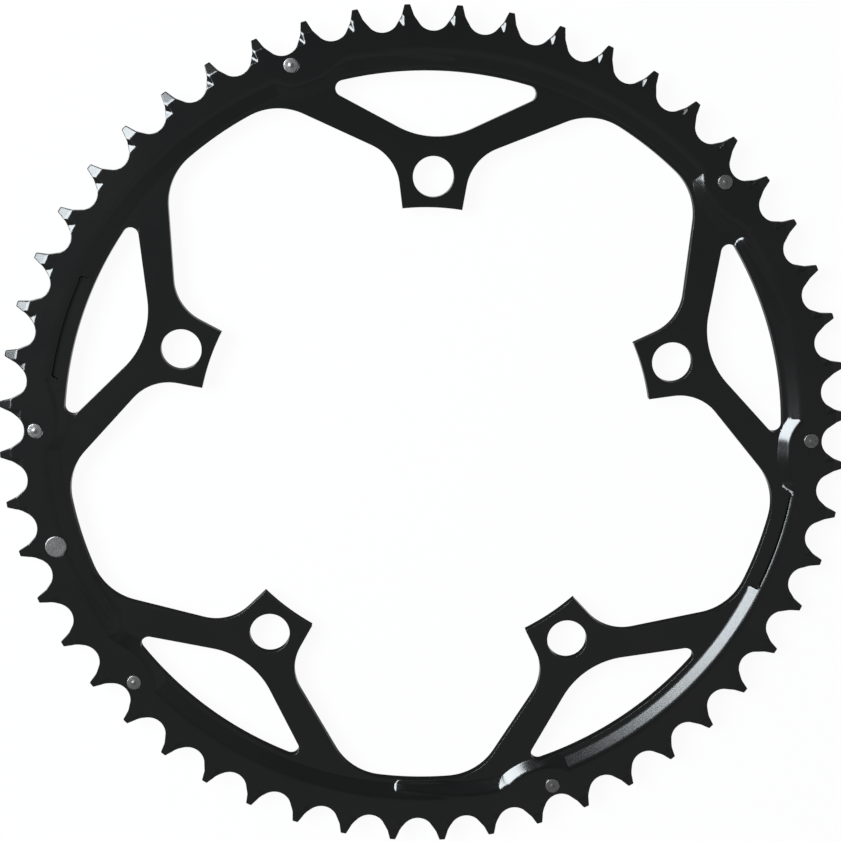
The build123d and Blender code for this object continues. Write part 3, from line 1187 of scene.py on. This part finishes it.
@dataclass(frozen=True)
class RingGrid:
    """Plan points inside the metal that carry the relief, with their spacing in millimetres and degrees."""

    sizes: RingSizes
    relief: RingRelief
    edges: list[Edge]
    pins: list[tuple[np.ndarray, float]]
    turn: float = 0.36
    step: float = 0.45
    clear: float = 0.22
    band_inside: float = 2.4
    band_outside: float = 1.2
    cone_fold: float = 0.06
    cone_clear: float = 0.2
    wall_rows: tuple[float, ...] = (-0.3, 0.0, 1.0, 1.3, 5.0, 9.0, 13.0)
    wall_middle: float = 0.3
    wall_clear: float = 0.45
    slope_fold: float = 0.2
    foot_rows: Span = (-0.04, 0.04, 0.25)
    nose: Patch = Patch((-0.4, 3.6, 0.13), (0.0, 4.2, 0.22))
    recess_start: Patch = Patch((-0.8, 0.9, 0.12), (0.4, 5.2, 0.3))
    recess_end: Patch = Patch((-4.4, 1.0, 0.15), (0.4, 5.2, 0.25))
    root_rows: Span = (-2.1, -0.2, 0.35)
    step_fold: float = 0.05
    flank_start: float = 0.3
    flank_stop: float = 0.15
    row_step: float = 0.36
    column_step: float = 0.3
    tooth_clear: float = 0.44
    tooth_reach: float = 1.5

    def top(self) -> np.ndarray:
        """Points of the face with the pins.

        Returns:
            Circles over the cone, its foot and the recess wall, then the details, teeth and gullets.
        """
        s = self.sizes
        wall = s.cone_top - s.recess_wall_inset - self.relief.wall_foot
        band = np.arange(s.rim_inner - self.band_inside, s.root_radius - self.band_outside, self.step)
        band = band[np.abs(band - wall - self.wall_middle) > self.wall_clear]
        band = band[np.abs(band - s.cone_foot) > self.cone_clear]
        folds = s.cone_foot + np.array([-self.cone_fold, self.cone_fold])
        steps = wall + self.relief.wall_run * np.array(self.wall_rows)
        rim = self.rim(np.concatenate([band, folds, steps]))
        gullets = self.edges[0].inset(self.edges[0].corner + self.clear)
        details = np.concatenate([self.details(), self.teeth(self.tooth_rows()), gullets])
        return np.concatenate([rim, self.clear_of_pins(details)])

    def low(self) -> np.ndarray:
        """Points of the face without ramps: circles at both folds of its slope, and a row on each tooth.

        Returns:
            Plan points.
        """
        s = self.sizes
        fold = s.rim_inner + s.outer_ledge + np.array([-self.slope_fold, 0.0, self.slope_fold])
        rim = self.rim(np.concatenate([fold, fold + s.outer_slope_run]))
        return np.concatenate([rim, self.teeth(np.array([s.tip_bevel_foot]))])

    def clear_of_pins(self, points: np.ndarray) -> np.ndarray:
        """The points that lie clear of every pin.

        Args:
            points: plan points.

        Returns:
            The points that are left.
        """
        for centre, size in self.pins:
            points = points[np.linalg.norm(points - centre, axis=1) > size + self.clear]
        return points

    def clear_of_all(self, points: np.ndarray) -> np.ndarray:
        """The points that lie clear of every opening and pin.

        Args:
            points: plan points.

        Returns:
            The points that are left.
        """
        for edge in self.edges:
            if edge.kind is Outline.OPENING:
                points = points[distance_to(points, edge.loop) > edge.corner + self.clear]
        return self.clear_of_pins(points)

    def rim(self, radii: np.ndarray) -> np.ndarray:
        """Points at the crossings of circles and radial lines, one arm's share turned round the axle.

        Args:
            radii: radii of the circles.

        Returns:
            Plan points.
        """
        arms = self.sizes.bolt_count
        share = 360.0 / arms
        angle, radius = np.meshgrid(np.arange(round(share / self.turn)) * self.turn, radii)
        points = self.clear_of_all(plan_point(angle.ravel(), radius.ravel()))
        return self.clear_of_pins(turned(points, np.arange(arms) * share))

    def details(self) -> np.ndarray:
        """Close points along the feet of the pads, over the noses of the ramps and at the recess ends.

        Returns:
            Plan points.
        """
        s = self.sizes
        foot = Edge(self.relief.pad_foot() + np.array([0.0, s.rim_inner]), Outline.METAL)
        rows = np.concatenate([foot.inset(distance) for distance in self.foot_rows])
        grids = [turned(rows, np.array([s.gap_angle(gap) for gap in s.pin_gaps]))]
        grids += [self.nose.points(end, s.rim_inner, way) for end, way in s.ramp_ends]
        for start in s.recess_starts:
            grids.append(self.recess_start.points(start, s.rim_inner))
            grids.append(self.recess_end.points(start + s.recess_span, s.rim_inner))
        return self.clear_of_all(np.concatenate(grids))

    def tooth_rows(self) -> np.ndarray:
        """Distances from the axle of the lines across a tooth, close at the step before the chamfer.

        Returns:
            One distance for each line.
        """
        s = self.sizes
        foot, bevel = s.flank_step_foot, s.tip_bevel_foot
        return np.concatenate([
            foot + np.arange(*self.root_rows),
            foot + np.array([-self.step_fold, self.step_fold]),
            np.arange(foot + self.flank_start, bevel - self.flank_stop, self.row_step),
            np.arange(bevel, s.tip_radius, self.row_step),
        ])

    def teeth(self, rows: np.ndarray) -> np.ndarray:
        """Points on every tooth, on lines along and across it that follow its bevels.

        Args:
            rows: distances of the cross lines from the axle.

        Returns:
            Plan points.
        """
        s = self.sizes
        outline = self.edges[0]
        widening = math.tan(math.radians(s.pitch_angle / 2.0))
        half = s.tip_radius * widening
        first = math.ceil((s.flank_chamfer_start - half) / self.column_step)
        last = math.floor((s.flank_chamfer_start + half) / self.column_step)
        columns = np.arange(first, last + 1) * self.column_step - s.flank_chamfer_start
        across, along = [part.ravel() for part in np.meshgrid(columns, rows)]
        middle = s.gap_angle(0.5)
        points = turned(np.stack([across, along], axis=-1), np.array([middle]))
        tip = plan_point(middle, s.tip_radius)
        near = np.linalg.norm(outline.loop - tip, axis=1) < s.chain_pitch * self.tooth_reach
        gap = np.linalg.norm(points[:, None, :] - outline.loop[near][None, :, :], axis=-1).min(1)
        kept = (np.abs(across) < along * widening) & (gap > outline.corner + self.tooth_clear)
        return turned(points[kept], np.arange(s.tooth_count) * s.pitch_angle)


@dataclass
class ToothedRing:
    """The one-piece ring: rim with its teeth, five arms, bolt tabs, pads, ramps and recesses."""

    node: str = "chainring"
    pins: tuple[str, ...] = (*SHIFT_NODES, DROP_NODE)
    sizes: RingSizes = field(default_factory=RingSizes)
    opening_corner: float = 0.05
    tooth_corner: float = 0.045
    hole_corner: float = 0.07
    corner_turns: tuple[float, ...] = (0.0, 45.0, 90.0)
    press_gap: float = 0.01
    smooth_angle: float = math.radians(48.0)
    finish: BlackAnodise = field(default_factory=BlackAnodise)

    def edges(self) -> list[Edge]:
        """Every outline of the plan.

        Returns:
            The toothed outline first, then the openings and the holes.
        """
        plan = RingPlan(self.sizes)
        openings = [plan.star(), *plan.windows()]
        holes = plan.bolt_holes()
        holes += [plan.circle(centre, radius + self.press_gap) for centre, radius in self.pin_places()]
        made = [Edge(plan.teeth(), Outline.METAL, self.tooth_corner)]
        made += [Edge(loop, Outline.OPENING, self.opening_corner) for loop in openings]
        made += [Edge(loop, Outline.HOLE, self.hole_corner) for loop in holes]
        return made

    def pin_places(self) -> list[tuple[np.ndarray, float]]:
        """Middle and radius of each pressed-in pin, in millimetres, from its node.

        Returns:
            A plan point and a radius for each pin.
        """
        boxes = [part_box(node) for node in self.pins]
        return [
            (np.array([low.x + high.x, low.y + high.y]) / (2.0 * MM), (high.x - low.x) / (2.0 * MM))
            for low, high in boxes
        ]

    def face(self, edges: list[Edge], grid: np.ndarray, heights: Heights, up: int) -> tuple[np.ndarray, ...]:
        """One face of the ring: triangles over its plan, each point lifted to its height.

        The corner of each outline is a quarter round: at turn t a point lies corner * (1 - cos t)
        inside the outline and corner * (1 - sin t) back from the face. Triangles with all their points
        on the outlines fill the openings and are left out.

        Args:
            edges: the outlines.
            grid: further plan points.
            heights: height of the face as a function of plan points.
            up: 1 for the face that looks up, -1 for the one that looks down.

        Returns:
            Points with the outlines' own points first, triangles, and a mark for each point that is 1
            on the corners.
        """
        turns = np.radians(self.corner_turns)
        rings = [(edge, turn) for turn in turns for edge in edges]
        plan = [edge.inset(edge.corner * (1.0 - math.cos(turn))) for edge, turn in rings]
        sink = [np.full(len(edge.loop), edge.corner * (1.0 - math.sin(turn))) for edge, turn in rings]
        mark = [np.full(len(edge.loop), float(turn in turns[1:-1])) for edge, turn in rings]
        points = np.concatenate([*plan, grid])
        spare = np.zeros(len(grid))
        number, following = self.sides(edges)
        sides = np.stack([number, following], axis=-1)
        held = np.concatenate([sides + row * len(sides) for row in range(len(turns))])
        vectors = [Vector(point) for point in points.tolist()]
        _, _, triangles, source, _, _ = delaunay_2d_cdt(vectors, held.tolist(), [], INSIDE, TOUCH)
        origin = np.array([numbers[0] for numbers in source])
        corners = origin[np.array(triangles)][:, ::up]
        corners = corners[(corners >= len(sides)).any(1)]
        height = heights(points) - up * np.concatenate([*sink, spare])
        return np.column_stack([points, height]), corners, np.concatenate([*mark, spare])

    @staticmethod
    def sides(edges: list[Edge]) -> tuple[np.ndarray, np.ndarray]:
        """Number of each outline point and of the next one on its outline.

        Args:
            edges: the outlines.

        Returns:
            The numbers of the points, and of the points that follow them.
        """
        counts = np.array([len(edge.loop) for edge in edges])
        first = np.repeat(np.cumsum(counts) - counts, counts)
        number = np.arange(counts.sum())
        return number, first + (number - first + 1) % np.repeat(counts, counts)

    def build(self) -> bpy.types.Object:
        """Fills both faces, joins them by walls along every outline and dresses the ring.

        Returns:
            The piece, which replaces the ring's node.
        """
        s = self.sizes
        edges = self.edges()
        relief = RingRelief(s)
        pins = [(centre, radius + self.hole_corner) for centre, radius in self.pin_places()]
        grid = RingGrid(s, relief, edges, pins)
        top, top_faces, top_mark = self.face(edges, grid.top(), relief.inner_face, 1)
        low, low_faces, low_mark = self.face(edges, grid.low(), relief.outer_face, -1)
        number, following = self.sides(edges)
        metal = np.concatenate([np.full(len(edge.loop), edge.metal) for edge in edges])
        below, below_next = number + len(top), following + len(top)
        walls = np.where(
            metal[:, None] > 0.0,
            np.stack([number, below, below_next, following], axis=-1),
            np.stack([number, following, below_next, below], axis=-1),
        )
        points = np.concatenate([top, low]) * MM
        skins = np.concatenate([top_faces, low_faces + len(top)])
        return self.dress(self.mesh(points, skins, walls, np.concatenate([top_mark, low_mark])))

    def mesh(
        self, points: np.ndarray, skins: np.ndarray, walls: np.ndarray, mark: np.ndarray,
    ) -> bpy.types.Mesh:
        """Makes the mesh from the points that its faces use.

        Args:
            points: points in metres.
            skins: point numbers of the triangles of both faces.
            walls: point numbers of the four-sided walls between them.
            mark: value of each point's edge attribute.

        Returns:
            The mesh, smooth apart from steep corners.
        """
        used = np.unique(np.concatenate([skins.ravel(), walls.ravel()]))
        place = np.zeros(len(points), dtype=int)
        place[used] = np.arange(len(used))
        mesh = bpy.data.meshes.new("toothed_ring")
        mesh.from_pydata(points[used].tolist(), [], [*place[skins].tolist(), *place[walls].tolist()])
        values = mark[used].astype(np.float32)
        mesh.attributes.new(self.finish.edge_attribute, "FLOAT", "POINT").data.foreach_set("value", values)
        mesh.shade_smooth()
        mesh.set_sharp_from_angle(angle=self.smooth_angle)
        return mesh

    def dress(self, mesh: bpy.types.Mesh) -> bpy.types.Object:
        """Gives the ring its finish and its place in the frame.

        Args:
            mesh: the ring's mesh.

        Returns:
            The piece.
        """
        piece = add_object("toothed_ring", mesh, self.finish.material())
        weighted = piece.modifiers.new("flat_faces", "WEIGHTED_NORMAL")
        weighted.keep_sharp = True
        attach(piece, BODY)
        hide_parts(self.node)
        return piece


@dataclass
class PressedPins:
    """The six shift pins and the chain-drop pin, pressed through the rim."""

    shift_nodes: tuple[str, ...] = SHIFT_NODES
    drop_node: str = DROP_NODE
    turns: int = 64
    corner_steps: int = 6
    face_steps: int = 18
    pip_rise: float = 0.10 * MM
    pip_share: float = 0.48
    dome_rise: float = 0.05 * MM
    dome_corner: float = 0.11 * MM
    flat_corner: float = 0.18 * MM
    tail_corner: float = 0.20 * MM
    tail_share: float = 0.5
    sharp_angle: float = math.radians(50.0)
    finish: PinSteel = field(default_factory=PinSteel)

    def profile(self, radius: float, height: float, end: PinEnd) -> np.ndarray:
        """Outline of a pin from its lower pole to its upper pole.

        The lower end is flat with a quarter-round corner. The upper end has a quarter-round corner
        and a face with a soft pip: from its middle it falls by a smooth step over the pip's share of
        the radius, and by the square of the distance from the axis.

        Args:
            radius: radius of the pin, in metres.
            height: length of the pin, in metres.
            end: finish of the upper face.

        Returns:
            Radius and height of each point, heights from the lower face.
        """
        pip, dome = (self.pip_rise, self.dome_rise) if end is PinEnd.DOMED else (0.0, 0.0)
        corner = self.dome_corner if end is PinEnd.DOMED else self.flat_corner
        turn = np.linspace(0.0, math.pi / 2.0, self.corner_steps)
        tail_r = radius - self.tail_corner + self.tail_corner * np.sin(turn)
        tail_z = self.tail_corner - self.tail_corner * np.cos(turn)
        face_radius = radius - corner
        head_r = face_radius + corner * np.cos(turn)
        head_z = height - pip - dome - corner + corner * np.sin(turn)
        share = np.linspace(1.0, 0.0, self.face_steps)[1:]
        face_r = face_radius * share
        face_z = height - pip * smooth_step(share / self.pip_share) - dome * share**2
        inner = np.array([0.0, radius * self.tail_share])
        r = np.concatenate([inner, tail_r, head_r, face_r])
        z = np.concatenate([np.zeros(2), tail_z, head_z, face_z])
        return np.stack([r, z], axis=1)

    def build(self) -> list[bpy.types.Object]:
        """Turns each pin in the place of its node.

        Returns:
            The dressed pieces.
        """
        material = self.finish.material()
        ends = {node: PinEnd.DOMED for node in self.shift_nodes} | {self.drop_node: PinEnd.FLAT}
        return [self.turn_pin(node, end, material) for node, end in ends.items()]

    def turn_pin(self, node: str, end: PinEnd, material: bpy.types.Material) -> bpy.types.Object:
        """Makes one pin.

        Args:
            node: the CAD node that it stands for.
            end: finish of its face.
            material: its finish.

        Returns:
            The piece.
        """
        low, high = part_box(node)
        foot = Vector(((low.x + high.x) / 2.0, (low.y + high.y) / 2.0, low.z))
        outline = self.profile((high.x - low.x) / 2.0, high.z - low.z, end)
        name, attribute = f"turned_{node}", self.finish.radial_attribute
        mesh = revolve(name, outline, self.turns, foot, attribute, self.sharp_angle)
        piece = add_object(name, mesh, material)
        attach(piece, BODY)
        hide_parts(node)
        return piece


@dataclass
class Studio:
    """White floor, soft lights, dim ceiling and the camera of the photograph."""

    floor_half: float = 12.0
    floor_points: int = 3
    key_azimuth: float = math.radians(158.5)
    key_elevation: float = math.radians(52.4)
    key_distance: float = 1.2
    key_width: float = 0.74
    key_height: float = 0.6
    key_radiance: float = 13.0
    key_colour: Colour = (0.9, 0.95, 1.0)
    # The room's grey levels by height, and the panels: direction, cosine at the edge and level
    room: tuple[Band, ...] = (
        (0.08, 1.0),
        (0.28, 0.2),
        (0.7, 0.13),
        (1.0, 0.055),
    )
    panels: tuple[tuple[Span, float, float], ...] = (
        ((-0.05, -0.33, 0.943), 0.9, 0.09),
        ((0.552, -0.05, 0.832), 0.8, 0.075),
    )
    focal_px: float = 2218.76
    frame_px: float = 841.0
    sensor: float = 36.0
    clip_near: float = 0.01
    clip_far: float = 50.0
    tilt_x: float = 0.16404
    tilt_y: float = 0.03389
    turn: float = -0.02555
    offset: tuple[float, float, float] = (1.196 * MM, -3.611 * MM, 561.084 * MM)
    paper: StudioWhite = field(default_factory=StudioWhite)

    def build(self, floor_height: float) -> None:
        """Sets the stage.

        Args:
            floor_height: height of the lowest point of the object, in metres.
        """
        self.lay_floor(floor_height)
        self.hang_key()
        self.light_room()
        self.aim_camera()
        bpy.context.scene.view_settings.view_transform = "Standard"

    def lay_floor(self, height: float) -> None:
        """Lays the floor as a grid z = height over a square.

        Args:
            height: height of the floor, in metres.
        """
        count = self.floor_points
        axis = np.linspace(-self.floor_half, self.floor_half, count)
        x, y = np.meshgrid(axis, axis)
        points = np.stack([x, y, np.full_like(x, height)], axis=-1).reshape(-1, 3)
        column, row = np.meshgrid(np.arange(count - 1), np.arange(count - 1))
        first = (row * count + column).ravel()
        quads = np.stack([first, first + 1, first + count + 1, first + count], axis=-1)
        mesh = bpy.data.meshes.new("studio_floor")
        mesh.from_pydata(points.tolist(), [], quads.tolist())
        add_object("studio_floor", mesh, self.paper.material())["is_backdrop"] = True

    def hang_key(self) -> None:
        """Hangs the large soft light at the upper left of the picture, turned to the ring."""
        light = bpy.data.lights.new("soft_key", "AREA")
        light.shape = "RECTANGLE"
        light.size = self.key_width
        light.size_y = self.key_height
        light.energy = self.key_radiance * math.pi * self.key_width * self.key_height
        light.color = self.key_colour
        lamp = bpy.data.objects.new("soft_key", light)
        level, turn = math.cos(self.key_elevation), self.key_azimuth
        aim = Vector((level * math.cos(turn), level * math.sin(turn), math.sin(self.key_elevation)))
        lamp.location = aim * self.key_distance
        lamp.rotation_euler = aim.to_track_quat("Z", "Y").to_euler()
        bpy.context.scene.collection.objects.link(lamp)

    def light_room(self) -> None:
        """White walls at the horizon under a dim ceiling with soft panels."""
        world = bpy.data.worlds.new("studio_room")
        world.use_nodes = True
        bpy.context.scene.world = world
        graph = Graph(world.node_tree)
        heading = graph.node("ShaderNodeTexCoord", output="Generated")
        rise = graph.node("ShaderNodeSeparateXYZ", inputs={"Vector": heading}, output="Z")
        strength = graph.node("ShaderNodeValToRGB", {"stops": self.room}, {"Fac": rise})
        for direction, edge, level in self.panels:
            dot = {0: heading, 1: direction}
            facing = graph.node("ShaderNodeVectorMath", {"operation": "DOT_PRODUCT"}, dot, output="Value")
            strength = strength + graph.smooth(facing, edge, 1.0) * level
        white = {"Color": (1.0, 1.0, 1.0, 1.0), "Strength": strength}
        glow = graph.node("ShaderNodeBackground", inputs=white)
        graph.node("ShaderNodeOutputWorld", inputs={"Surface": glow})

    def aim_camera(self) -> None:
        """Places the camera: the ring's axes turned, tilted and tilted again, then moved back."""
        lens = bpy.data.cameras.new("photo_camera")
        lens.sensor_width = self.sensor
        lens.lens = self.focal_px / self.frame_px * self.sensor
        lens.clip_start = self.clip_near
        lens.clip_end = self.clip_far
        to_camera = (
            Matrix.Rotation(self.tilt_y, 3, "Y")
            @ Matrix.Rotation(self.tilt_x, 3, "X")
            @ Matrix.Rotation(self.turn, 3, "Z")
        )
        to_ring = to_camera.transposed()
        right, up, back = self.offset
        camera = bpy.data.objects.new("photo_camera", lens)
        camera.matrix_world = Matrix.Translation(to_ring @ Vector((-right, -up, back))) @ to_ring.to_4x4()
        bpy.context.scene.collection.objects.link(camera)
        bpy.context.scene.camera = camera


def main() -> None:
    """Builds the ring, its pins and the studio."""
    logging.basicConfig(level=logging.INFO, format="%(name)s: %(message)s")
    cad_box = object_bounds()
    pieces = [ToothedRing().build(), *PressedPins().build()]
    for piece in pieces:
        LOG.info("%s: %d faces", piece.name, len(piece.data.polygons))
    Studio().build(float(cad_box[0][2]))


if __name__ == "__main__":
    main()
